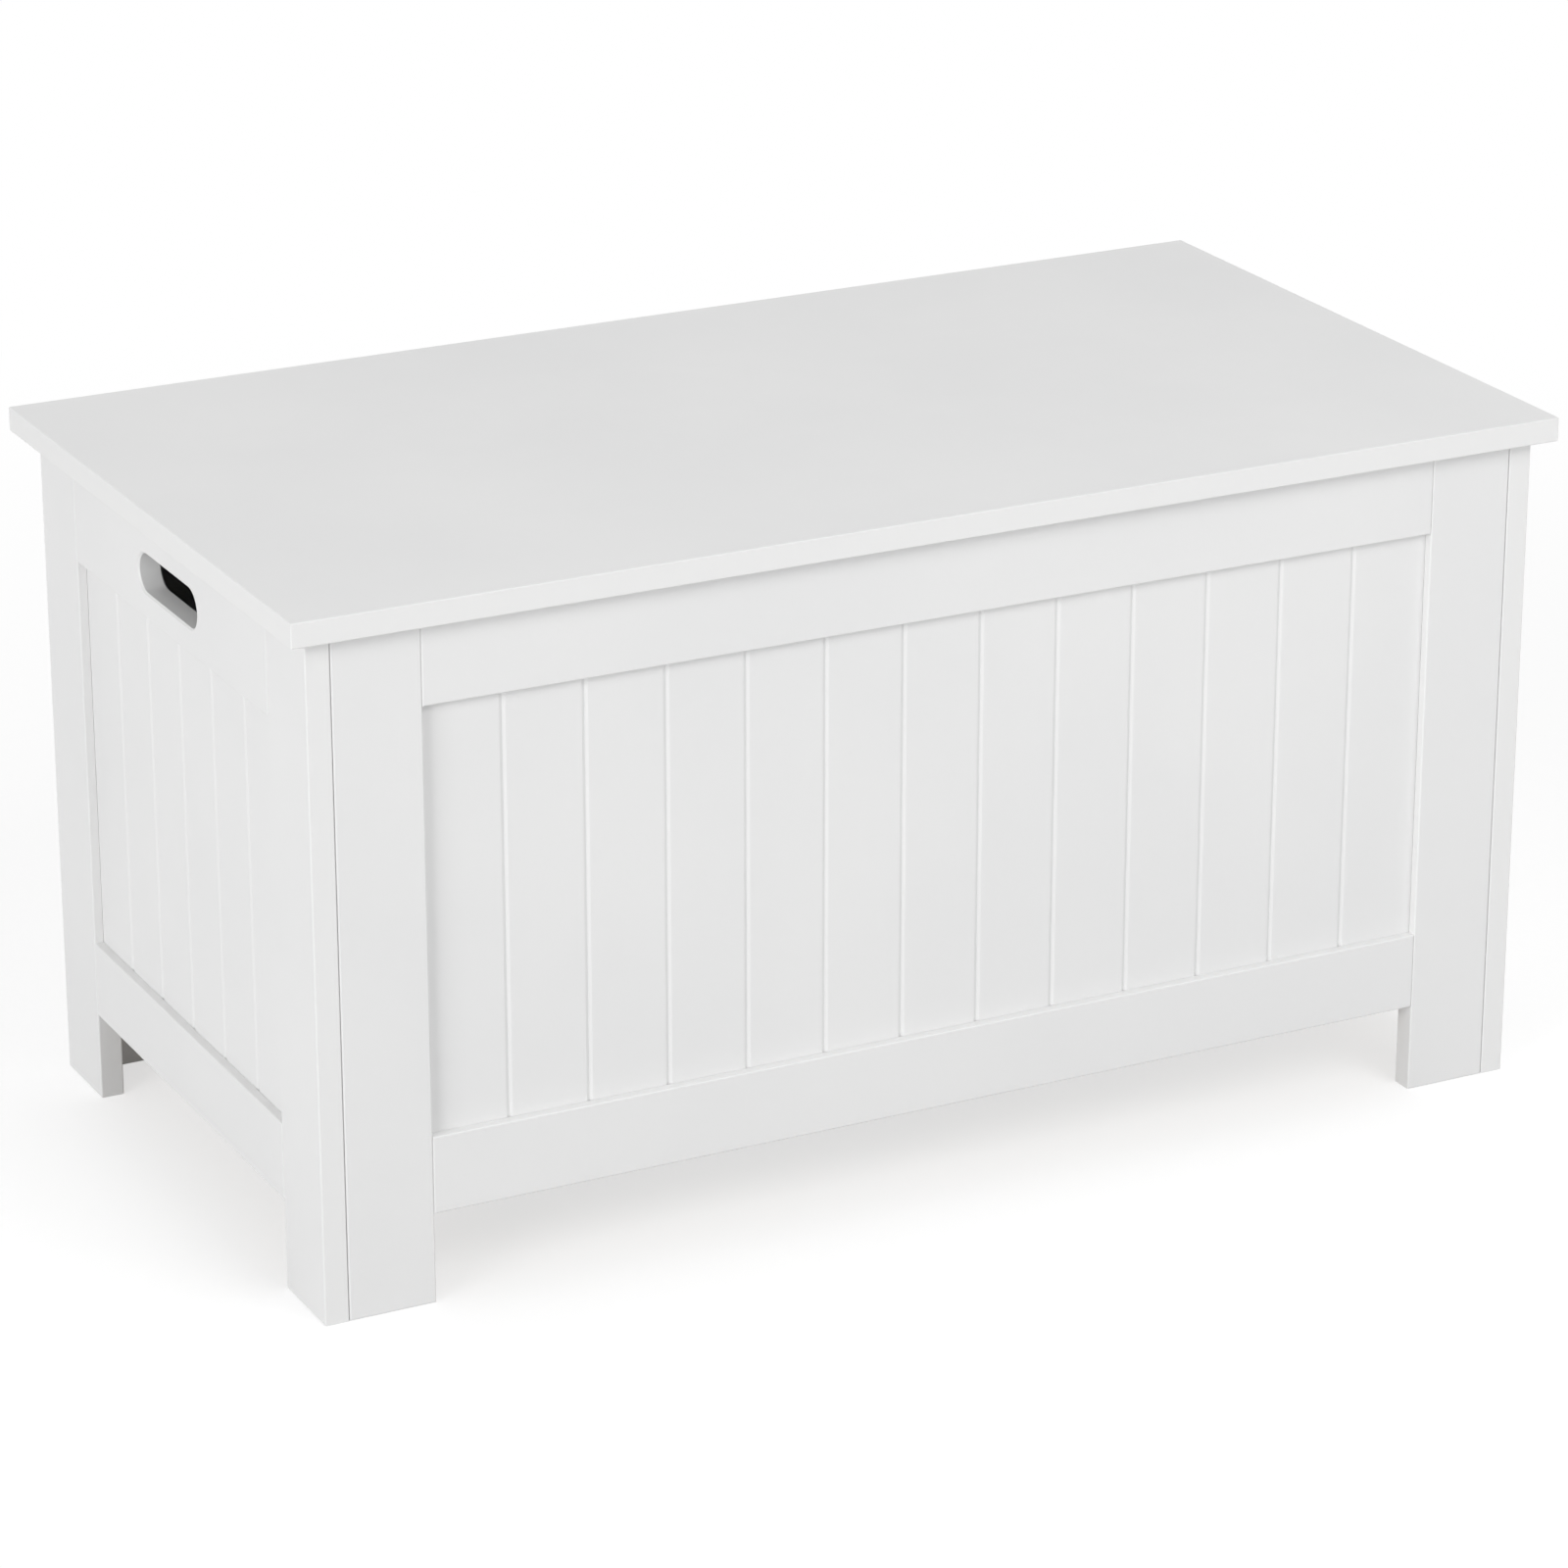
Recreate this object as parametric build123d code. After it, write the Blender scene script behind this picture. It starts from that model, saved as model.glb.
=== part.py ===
from build123d import *
from math import asin, atan2, degrees
import os

# Toy box of painted board: four frame-and-panel walls, a base on battens and a lid on two butt hinges,
# held open by a pair of folding stays.
# Millimetres. X runs to the right, Y to the back and Z up.
# The origin is on the floor under the lid's middle.

# Carcass
BODY_WIDTH = 800.0
BODY_DEPTH = 415.0
BODY_HEIGHT = 415.0
BOARD = 15.0  # thickness of every stile and rail
ARRIS = 1.0  # rounding all round the boards' faces
CORNER_GAP = 0.3  # line left between a side wall and the front or back wall
BLIND_SKIN = 3.2  # wood left behind a blind hole
HOLE_ROOM = 0.8  # depth of a blind hole past the end of what goes in it

# Frame members
FRONT_STILE = 54.0
SIDE_STILE = 57.0
FRONT_TOP_RAIL = 50.0
SIDE_TOP_RAIL = 63.0
BOTTOM_RAIL = 48.0
FOOT = 56.0  # leg below the bottom rail

# Panels
PANEL = 5.0
PANEL_RECESS = 6.0  # show face of the frame to show face of the panel
PANEL_TONGUE = 6.0  # depth of the groove that holds the panel's edge and the rails' tenons
PANEL_PLAY = 0.2  # room at either face of a panel or tenon
PANEL_ROOM = 0.6  # room at the edge of a panel or end of a tenon
FRONT_STRIPS = 13
SIDE_STRIPS = 6
VEE_WIDTH = 4.0
VEE_DEPTH = 0.9

# Handle slots
SLOT_LENGTH = 92.0
SLOT_HEIGHT = 24.0
SLOT_DROP = 35.0  # top of the wall to the middle of the slot
SLOT_EASE = 1.2

# Corner cam fittings
CAM_DIAMETER = 15.0
CAM_PLAY = 0.1
CAM_SETBACK = 24.0  # inner face of the side wall to the cam's middle
CAM_FROM_FLOOR = 130.0
CAM_FROM_TOP = 70.0
CAM_TO_DOWEL = 32.0
CAM_POCKET_DIAMETER = 8.4
CAM_POCKET_HEIGHT = 7.0
BOLT_THREAD_DIAMETER = 6.0
BOLT_NECK_DIAMETER = 3.6
BOLT_HEAD_DIAMETER = 6.4
BOLT_HEAD = 4.0
BOLT_BORE_DIAMETER = 8.0
CAP_DIAMETER = 17.0
CAP_THICKNESS = 0.8
DOWEL_DIAMETER = 8.0
DOWEL_LENGTH = 30.0
DOWEL_PLAY = 0.1

# Base
BATTEN = 20.0
BATTEN_RISE = 2.0  # lower edge of the bottom rail to the batten
BATTEN_END_ROOM = 0.5
BASE_THICKNESS = 9.0
BASE_ROOM = 0.8
BATTEN_SCREW_INSET = 60.0  # end of a rail to the batten screw near it

# Wood screws
SCREW_DIAMETER = 3.5
SCREW_HEAD_DIAMETER = 7.0
SCREW_PLAY = 0.1

# Lid
LID_THICKNESS = 15.0
LID_OVERHANG_FRONT = 11.0
LID_OVERHANG_SIDE = 12.0
LID_OVERHANG_BACK = 19.0
LID_ARRIS = 0.8

# Butt hinges
HINGE_INSET = 150.0  # side of the body to the hinge's middle
HINGE_LENGTH = 50.0
HINGE_PLATE = 1.5
HINGE_MARGIN = 1.7  # edge of the leaf to the back edge of the lid
HINGE_CORNER = 2.0
KNUCKLES = 3
KNUCKLE_RADIUS = 3.0
KNUCKLE_CLEARANCE = 0.3
KNUCKLE_GAP = 0.4
PIN_DIAMETER = 3.0
PIN_PLAY = 0.08
PIN_HEAD_DIAMETER = 4.8
PIN_HEAD = 0.9
HINGE_SCREW_DIAMETER = 3.0
HINGE_SCREW_HEAD_DIAMETER = 6.0
HINGE_SCREW_PITCH = 34.0

# Folding lid stays
STAY_STRIP = 2.0  # thickness of every pressed piece
STAY_ARM_WIDTH = 16.0
STAY_LID_REACH = 110.0  # hinge pin to the pivot on the lid, along the lid
STAY_LID_DROP = 18.0  # underside of the lid to that pivot
STAY_BOX_DROP = 145.0  # top of the wall to the pivot on the box
STAY_PLATE_WIDTH = 26.0
STAY_PLATE_LENGTH = 62.0
STAY_CORNER = 4.0
STAY_PLATE_SCREW_PITCH = 44.0
STAY_FLANGE_WIDTH = 21.0
STAY_FLANGE_LENGTH = 40.0
STAY_FLANGE_SCREW_PITCH = 24.0
STAY_WASHER = 0.9
STAY_WASHER_DIAMETER = 15.0
STAY_FACE_GAP = 0.1  # a pivot's faces
STAY_ARM_GAP = 0.5  # between the two arms
RIVET_DIAMETER = 6.0
RIVET_PLAY = 0.08
RIVET_HEAD_DIAMETER = 10.0
RIVET_HEAD = 1.5

# Places worked out from the sizes above
LID_WIDTH = BODY_WIDTH + 2 * LID_OVERHANG_SIDE
LID_DEPTH = BODY_DEPTH + LID_OVERHANG_FRONT + LID_OVERHANG_BACK
FRONT_Y = LID_OVERHANG_FRONT - LID_DEPTH / 2
BACK_Y = FRONT_Y + BODY_DEPTH
MIDDLE_Y = (FRONT_Y + BACK_Y) / 2
FRONT_INNER = FRONT_Y + BOARD
BACK_INNER = BACK_Y - BOARD
SIDE_INNER = BODY_WIDTH / 2 - BOARD
OPENING_LOW = FOOT + BOTTOM_RAIL
FRONT_WALL_WIDTH = 2 * (SIDE_INNER - CORNER_GAP)
BOARD_BITE = BOARD - BLIND_SKIN - HOLE_ROOM
LID_BITE = LID_THICKNESS - BLIND_SKIN - HOLE_ROOM
CAM_HEIGHT = BOARD - BLIND_SKIN
BATTEN_LOW = FOOT + BATTEN_RISE
BASE_LOW = BATTEN_LOW + BATTEN
PIN_STANDOFF = KNUCKLE_RADIUS + KNUCKLE_CLEARANCE
PIN_Y = BACK_Y + PIN_STANDOFF
PIN_Z = BODY_HEIGHT - PIN_STANDOFF
HINGE_LEAF = LID_OVERHANG_BACK - PIN_STANDOFF - HINGE_MARGIN
LOWER_ARM_AT = STAY_STRIP + STAY_WASHER + STAY_FACE_GAP
UPPER_ARM_AT = LOWER_ARM_AT + STAY_STRIP + STAY_ARM_GAP

# The stay is a parallelogram: hinge pin, lid pivot, elbow and box pivot.
LID_PIVOT = (PIN_Y - STAY_LID_REACH, BODY_HEIGHT - STAY_LID_DROP)
BOX_PIVOT = (BACK_INNER - (SIDE_STILE - BOARD) / 2, BODY_HEIGHT - STAY_BOX_DROP)
ELBOW = (LID_PIVOT[0] + BOX_PIVOT[0] - PIN_Y, LID_PIVOT[1] + BOX_PIVOT[1] - PIN_Z)

STANDING = (Align.CENTER, Align.MIN, Align.MIN)
UPRIGHT = (Align.CENTER, Align.CENTER, Align.MIN)
SIDES = {"left": -1, "right": 1}
ORIGIN, UP, DOWN = (0, 0, 0), (0, 0, 1), (0, 0, -1)

nodes = {}


def block(x, y, z):
    """Box between two limits on each axis."""
    size = [high - low for low, high in (x, y, z)]
    return Pos(x[0], y[0], z[0]) * Box(*size, align=Align.MIN)


def rod(diameter, start, direction, length):
    """Round bar or bore from a start point along a direction."""
    bar = Cylinder(diameter / 2, length, align=UPRIGHT)
    return Plane(origin=start, z_dir=direction) * bar


def turned(*outline):
    """Solid turned about Z from (diameter, height) points that start and end on the axis."""
    section = make_face(Polyline(*[(diameter / 2, height) for diameter, height in outline], close=True))
    return revolve(Plane.XZ * section, Axis.Z)


def screw(length, diameter, head):
    """Countersunk screw hanging from the origin, its head flush with z = 0."""
    return turned((0, 0), (head, 0), (diameter, (diameter - head) / 2), (diameter, -length), (0, -length))


def screw_seat(length, diameter, head):
    """What a countersunk screw needs clear: its own outline with a little room, open at the head."""
    wide, narrow = head + 2 * SCREW_PLAY, diameter + 2 * SCREW_PLAY
    neck, deep = (narrow - wide) / 2, -length - HOLE_ROOM
    return turned((0, head), (wide, head), (wide, 0), (narrow, neck), (narrow, deep), (0, deep))


def fix(group, boards, spots, head_side, length, diameter=SCREW_DIAMETER, head=SCREW_HEAD_DIAMETER):
    """Drives a screw at each spot into the named boards, its head facing head_side."""
    places = [Plane(origin=spot, z_dir=head_side) for spot in spots]
    nodes.setdefault(group, []).extend(place * screw(length, diameter, head) for place in places)
    cut(boards, [place * screw_seat(length, diameter, head) for place in places])


def cut(names, tools):
    """Takes the tools away from each of the named boards."""
    for name in names:
        nodes[name] = nodes[name] - tools


def board(width, height):
    """Board standing on its lower edge, show face on y = 0, eased all round both faces."""
    blank = Box(width, BOARD, height, align=STANDING)
    return fillet(blank.edges().filter_by(Axis.Y, reverse=True), ARRIS)


def grooved_panel(width, height, strips):
    """Panel for a clear opening, drawn as one plan section with a vee between each two strips."""
    tongue = PANEL_TONGUE - PANEL_ROOM
    edge = width / 2 + tongue
    outline = [(-edge, PANEL), (-edge, 0)]
    for strip in range(1, strips):
        middle = strip * width / strips - width / 2
        outline += [(middle - VEE_WIDTH / 2, 0), (middle, VEE_DEPTH), (middle + VEE_WIDTH / 2, 0)]
    outline += [(edge, 0), (edge, PANEL)]
    panel = extrude(make_face(Polyline(*outline, close=True)), height + 2 * tongue)
    return Pos(0, PANEL_RECESS, OPENING_LOW - tongue) * panel


def with_handle_slot(rail):
    """Side top rail with a rounded slot for the hand right through it."""
    slot_z = BODY_HEIGHT - SLOT_DROP
    outline = Plane.XZ * SlotOverall(SLOT_LENGTH, SLOT_HEIGHT)
    slotted = rail - Pos(0, 0, slot_z) * extrude(outline, -BOARD)

    def beside_slot(edge):
        middle = edge.center()
        return abs(middle.X) < SLOT_LENGTH and abs(middle.Z - slot_z) < SLOT_HEIGHT / 2 + ARRIS

    mouths = slotted.edges().filter_by(Axis.Y, reverse=True).filter_by(beside_slot)
    return chamfer(mouths, SLOT_EASE)


def tenoned_rail(length, height):
    """Rail with a stub tenon on either end, as thick as the panel so that both fit one groove."""
    over_tenons = length + 2 * (PANEL_TONGUE - PANEL_ROOM)
    tenons = Pos(0, PANEL_RECESS, 0) * Box(over_tenons, PANEL, height, align=STANDING)
    return board(length, height) + tenons


def wall(name, place, width, stile, top_rail, strips, stile_names):
    """One frame-and-panel wall, built facing -Y and then set in its place."""
    opening = width - 2 * stile
    opening_height = BODY_HEIGHT - top_rail - OPENING_LOW
    groove_width, groove_thickness = opening + 2 * PANEL_TONGUE, PANEL + 2 * PANEL_PLAY
    housing = Pos(0, PANEL_RECESS - PANEL_PLAY, OPENING_LOW - PANEL_TONGUE) * Box(
        groove_width, groove_thickness, opening_height + 2 * PANEL_TONGUE, align=STANDING
    )
    stile_groove = Pos(0, PANEL_RECESS - PANEL_PLAY, FOOT) * Box(
        groove_width, groove_thickness, BODY_HEIGHT - FOOT, align=STANDING
    )
    top = Pos(0, 0, BODY_HEIGHT - top_rail) * tenoned_rail(opening, top_rail) - housing
    bottom = Pos(0, 0, FOOT) * tenoned_rail(opening, BOTTOM_RAIL) - housing
    nodes[f"{name}_top_rail"] = place * (with_handle_slot(top) if name in SIDES else top)
    nodes[f"{name}_bottom_rail"] = place * bottom
    nodes[f"{name}_panel"] = place * grooved_panel(opening, opening_height, strips)
    for side, stile_name in zip(SIDES.values(), stile_names):
        upright = Pos(side * (width - stile) / 2, 0, 0) * board(stile, BODY_HEIGHT)
        nodes[f"{name}_{stile_name}_stile"] = place * (upright - stile_groove)


def walls():
    """The four walls, each with its show face outwards."""
    front = (FRONT_WALL_WIDTH, FRONT_STILE, FRONT_TOP_RAIL, FRONT_STRIPS)
    side = (BODY_DEPTH, SIDE_STILE, SIDE_TOP_RAIL, SIDE_STRIPS)
    wall("front", Location((0, FRONT_Y, 0)), *front, ("left", "right"))
    wall("back", Location((0, BACK_Y, 0), (0, 0, 180)), *front, ("right", "left"))
    wall("left", Location((-BODY_WIDTH / 2, MIDDLE_Y, 0), (0, 0, -90)), *side, ("rear", "front"))
    wall("right", Location((BODY_WIDTH / 2, MIDDLE_Y, 0), (0, 0, 90)), *side, ("front", "rear"))


def cam_bolt():
    """Bolt along Z: thread below zero, in the side wall, and head at the middle of its cam."""
    head_start, head_end = CAM_SETBACK - BOLT_HEAD / 2, CAM_SETBACK + BOLT_HEAD / 2
    neck_start = CAM_SETBACK - CAM_DIAMETER / 2
    return turned(
        (0, -BOARD_BITE),
        (BOLT_THREAD_DIAMETER, -BOARD_BITE),
        (BOLT_THREAD_DIAMETER, neck_start),
        (BOLT_NECK_DIAMETER, neck_start),
        (BOLT_NECK_DIAMETER, head_start),
        (BOLT_HEAD_DIAMETER, head_start),
        (BOLT_HEAD_DIAMETER, head_end),
        (0, head_end),
    )


def cam_lock():
    """Cam hanging from its board's inner face at z = 0, with its mouth towards -X for the bolt's neck."""
    bolt_line = (0, 0, -BOARD / 2)
    pocket = Pos(*bolt_line) * Cylinder(CAM_POCKET_DIAMETER / 2, CAM_POCKET_HEIGHT)
    mouth = rod(BOLT_NECK_DIAMETER + 2 * CAM_PLAY, bolt_line, (-1, 0, 0), CAM_DIAMETER)
    body = rod(CAM_DIAMETER - 2 * CAM_PLAY, ORIGIN, DOWN, CAM_HEIGHT - HOLE_ROOM)
    return body - [pocket, mouth]


def corner_fixing(side, end, height):
    """One cam with its bolt and cap, and the dowel below it, where a side stile and an end stile meet."""
    (side_stile, sign), (end_stile, inner, facing) = side, end
    inwards, outwards = (-sign, 0, 0), (sign, 0, 0)
    middle = inner - facing * BOARD / 2
    joint = (sign * SIDE_INNER, middle, height)
    cam_middle = (sign * (SIDE_INNER - CAM_SETBACK), inner, height)
    cam_seat = Plane(origin=cam_middle, x_dir=inwards, z_dir=(0, facing, 0))
    dowel_z = height - CAM_TO_DOWEL
    dowel_start = (sign * (SIDE_INNER + BOARD_BITE), middle, dowel_z)
    hole_start = (sign * (SIDE_INNER + BOARD_BITE + HOLE_ROOM), middle, dowel_z)
    hole_diameter, hole_length = DOWEL_DIAMETER + 2 * DOWEL_PLAY, DOWEL_LENGTH + 2 * HOLE_ROOM
    dowel_hole = rod(hole_diameter, hole_start, inwards, hole_length)
    thread_hole = rod(BOLT_THREAD_DIAMETER + 2 * CAM_PLAY, joint, outwards, BOARD_BITE + HOLE_ROOM)
    bolt_hole = rod(BOLT_BORE_DIAMETER, joint, inwards, CAM_SETBACK)
    cam_hole = cam_seat * rod(CAM_DIAMETER, ORIGIN, DOWN, CAM_HEIGHT)
    cut([side_stile], [thread_hole, dowel_hole])
    cut([end_stile], [cam_hole, bolt_hole, dowel_hole])
    pieces = {
        "bolts": Plane(origin=joint, z_dir=inwards) * cam_bolt(),
        "locks": cam_seat * cam_lock(),
        "caps": cam_seat * rod(CAP_DIAMETER, ORIGIN, UP, CAP_THICKNESS),
    }
    for kind, piece in pieces.items():
        nodes.setdefault(f"corner_cam_{kind}", []).append(piece)
    dowel = rod(DOWEL_DIAMETER, dowel_start, inwards, DOWEL_LENGTH)
    nodes.setdefault("corner_dowels", []).append(dowel)


def corner_fixings():
    """Cams, bolts and dowels that draw the front and back walls between the side walls."""
    ends = (("front", "front", FRONT_INNER, 1), ("back", "rear", BACK_INNER, -1))
    for side, sign in SIDES.items():
        for end, side_end, inner, facing in ends:
            for height in (CAM_FROM_FLOOR, BODY_HEIGHT - CAM_FROM_TOP):
                side_piece = (f"{side}_{side_end}_stile", sign)
                end_piece = (f"{end}_{side}_stile", inner, facing)
                corner_fixing(side_piece, end_piece, height)


def base():
    """Battens screwed to the bottom rails, with the base board laid on them."""
    batten_z = (BATTEN_LOW, BASE_LOW)
    screw_z = BATTEN_LOW + BATTEN / 2
    long_half = SIDE_INNER - BATTEN_END_ROOM
    end_reach = FRONT_WALL_WIDTH / 2 - FRONT_STILE - BATTEN_SCREW_INSET
    for end, inner, facing in (("front", FRONT_INNER, 1), ("back", BACK_INNER, -1)):
        batten = f"base_{end}_batten"
        face = inner + facing * BATTEN
        nodes[batten] = block((-long_half, long_half), sorted((inner, face)), batten_z)
        spots = [(x, face, screw_z) for x in (-end_reach, end_reach)]
        fix("batten_screws", [batten, f"{end}_bottom_rail"], spots, (0, facing, 0), BATTEN + BOARD_BITE)
    side_reach = BODY_DEPTH / 2 - SIDE_STILE - BATTEN_SCREW_INSET
    short = (FRONT_INNER + BATTEN + BATTEN_END_ROOM, BACK_INNER - BATTEN - BATTEN_END_ROOM)
    for side, sign in SIDES.items():
        batten = f"base_{side}_batten"
        face = sign * (SIDE_INNER - BATTEN)
        nodes[batten] = block(sorted((sign * SIDE_INNER, face)), short, batten_z)
        spots = [(face, y, screw_z) for y in (MIDDLE_Y - side_reach, MIDDLE_Y + side_reach)]
        fix("batten_screws", [batten, f"{side}_bottom_rail"], spots, (-sign, 0, 0), BATTEN + BOARD_BITE)
    nodes["base_board"] = block(
        (BASE_ROOM - SIDE_INNER, SIDE_INNER - BASE_ROOM),
        (FRONT_INNER + BASE_ROOM, BACK_INNER - BASE_ROOM),
        (BASE_LOW, BASE_LOW + BASE_THICKNESS),
    )


def lid():
    """Plain lid board, lying on the walls."""
    blank = extrude(Pos(0, 0, BODY_HEIGHT) * Rectangle(LID_WIDTH, LID_DEPTH), LID_THICKNESS)
    nodes["lid_board"] = fillet(blank.edges(), LID_ARRIS)


def hinge_leaf(own, other):
    """Leaf behind the pin and under the lid, its knuckles over its own spans of the pin at the origin."""
    outline = Rectangle(HINGE_LENGTH, HINGE_LEAF, align=(Align.CENTER, Align.MIN))
    outline = fillet(outline.vertices().group_by(Axis.Y)[-1], HINGE_CORNER)
    leaf = Pos(0, 0, PIN_STANDOFF - HINGE_PLATE) * extrude(outline, HINGE_PLATE)
    for low, high in other:
        span = (low - KNUCKLE_GAP, high + KNUCKLE_GAP)
        leaf -= block(span, (-PIN_STANDOFF, PIN_STANDOFF), (0, PIN_STANDOFF))
    for low, high in own:
        leaf += rod(2 * KNUCKLE_RADIUS, (low, 0, 0), (1, 0, 0), high - low)
    return leaf - rod(PIN_DIAMETER + 2 * PIN_PLAY, (-HINGE_LENGTH, 0, 0), (1, 0, 0), 2 * HINGE_LENGTH)


def hinge_pin():
    """Pin along X with a small head at either end."""
    half = HINGE_LENGTH / 2 + KNUCKLE_GAP
    return Rot(Y=90) * turned(
        (0, -half - PIN_HEAD),
        (PIN_HEAD_DIAMETER, -half - PIN_HEAD),
        (PIN_HEAD_DIAMETER, -half),
        (PIN_DIAMETER, -half),
        (PIN_DIAMETER, half),
        (PIN_HEAD_DIAMETER, half),
        (PIN_HEAD_DIAMETER, half + PIN_HEAD),
        (0, half + PIN_HEAD),
    )


def hinges():
    """Two butt hinges in the corner between the back wall and the lid's overhang."""
    knuckle = (HINGE_LENGTH - (KNUCKLES - 1) * KNUCKLE_GAP) / KNUCKLES
    starts = [index * (knuckle + KNUCKLE_GAP) - HINGE_LENGTH / 2 for index in range(KNUCKLES)]
    spans = [(start, start + knuckle) for start in starts]
    lid_leaf = hinge_leaf(spans[1::2], spans[0::2])
    box_leaf = mirror(hinge_leaf(spans[0::2], spans[1::2]), Plane(origin=(0, 0, 0), z_dir=(0, 1, 1)))
    screw_line = (KNUCKLE_RADIUS + HINGE_LEAF) / 2
    leaf_face = PIN_STANDOFF - HINGE_PLATE
    lid_screw = (HINGE_PLATE + LID_BITE, HINGE_SCREW_DIAMETER, HINGE_SCREW_HEAD_DIAMETER)
    box_screw = (HINGE_PLATE + BOARD_BITE, HINGE_SCREW_DIAMETER, HINGE_SCREW_HEAD_DIAMETER)
    for side, sign in SIDES.items():
        middle = sign * (BODY_WIDTH / 2 - HINGE_INSET)
        place = Pos(middle, PIN_Y, PIN_Z)
        lid_name, box_name = f"{side}_hinge_lid_leaf", f"{side}_hinge_box_leaf"
        nodes[lid_name] = place * lid_leaf
        nodes[box_name] = place * box_leaf
        nodes[f"{side}_hinge_pin"] = place * hinge_pin()
        across = [middle - HINGE_SCREW_PITCH / 2, middle + HINGE_SCREW_PITCH / 2]
        lid_spots = [(x, PIN_Y + screw_line, PIN_Z + leaf_face) for x in across]
        box_spots = [(x, PIN_Y - leaf_face, PIN_Z - screw_line) for x in across]
        fix("hinge_lid_screws", [lid_name, "lid_board"], lid_spots, DOWN, *lid_screw)
        fix("hinge_box_screws", [box_name, "back_top_rail"], box_spots, (0, 1, 0), *box_screw)


def layer(depth):
    """Plane of (Y, Z) sketches at a depth inwards from the left wall's inner face."""
    return Plane(origin=(depth - SIDE_INNER, 0, 0), x_dir=(0, 1, 0), z_dir=(1, 0, 0))


def stay_arm(start, end, depth):
    """Flat strip with round ends between two pivots, with a hole at each."""
    along = (end[0] - start[0], end[1] - start[1])
    angle = degrees(atan2(along[1], along[0]))
    middle = ((start[0] + end[0]) / 2, (start[1] + end[1]) / 2)
    strip = Pos(*middle) * SlotCenterToCenter(Vector(*along).length, STAY_ARM_WIDTH, rotation=angle)
    hole = Circle(RIVET_DIAMETER / 2 + RIVET_PLAY)
    return layer(depth) * extrude(strip - [Pos(*start) * hole, Pos(*end) * hole], STAY_STRIP)


def rivet_head():
    """Domed head on z = 0."""
    dome = (RIVET_HEAD**2 + (RIVET_HEAD_DIAMETER / 2) ** 2) / (2 * RIVET_HEAD)
    rim_angle = degrees(asin(1 - RIVET_HEAD / dome))
    return Sphere(dome, arc_size1=rim_angle, align=UPRIGHT)


def stay_rivet(pivot, start, end, flush):
    """Rivet at a pivot between two depths, headed past its end and, unless flush, before its start."""
    grip = end - start
    rivet = rod(RIVET_DIAMETER, ORIGIN, UP, grip) + Pos(0, 0, grip) * rivet_head()
    if not flush:
        rivet += mirror(rivet_head(), Plane.XY)
    return layer(start) * Pos(*pivot) * rivet


def stay_lid_bracket():
    """Angle bracket: a flange under the lid and an ear that hangs down to the lid pivot."""
    round_end = Pos(*LID_PIVOT) * Circle(STAY_ARM_WIDTH / 2)
    half = STAY_FLANGE_LENGTH / 2
    top = Pos(LID_PIVOT[0], BODY_HEIGHT) * Rectangle(2 * half, STAY_STRIP, align=(Align.CENTER, Align.MAX))
    ear = make_hull([*round_end.edges(), *top.edges()])
    ear -= Pos(*LID_PIVOT) * Circle(RIVET_DIAMETER / 2 + RIVET_PLAY)
    flange = block(
        (LOWER_ARM_AT - SIDE_INNER, LOWER_ARM_AT + STAY_FLANGE_WIDTH - SIDE_INNER),
        (LID_PIVOT[0] - half, LID_PIVOT[0] + half),
        (BODY_HEIGHT - STAY_STRIP, BODY_HEIGHT),
    )
    corners = flange.edges().filter_by(Axis.Z).group_by(Axis.X)[-1]
    return fillet(corners, STAY_CORNER) + layer(LOWER_ARM_AT) * extrude(ear, STAY_STRIP)


def stay_box_bracket():
    """Plate on the rear stile, with a hole for the box pivot."""
    plate = RectangleRounded(STAY_PLATE_WIDTH, STAY_PLATE_LENGTH, STAY_CORNER)
    plate -= Circle(RIVET_DIAMETER / 2 + RIVET_PLAY)
    return layer(0) * Pos(*BOX_PIVOT) * extrude(plate, STAY_STRIP)


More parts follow.
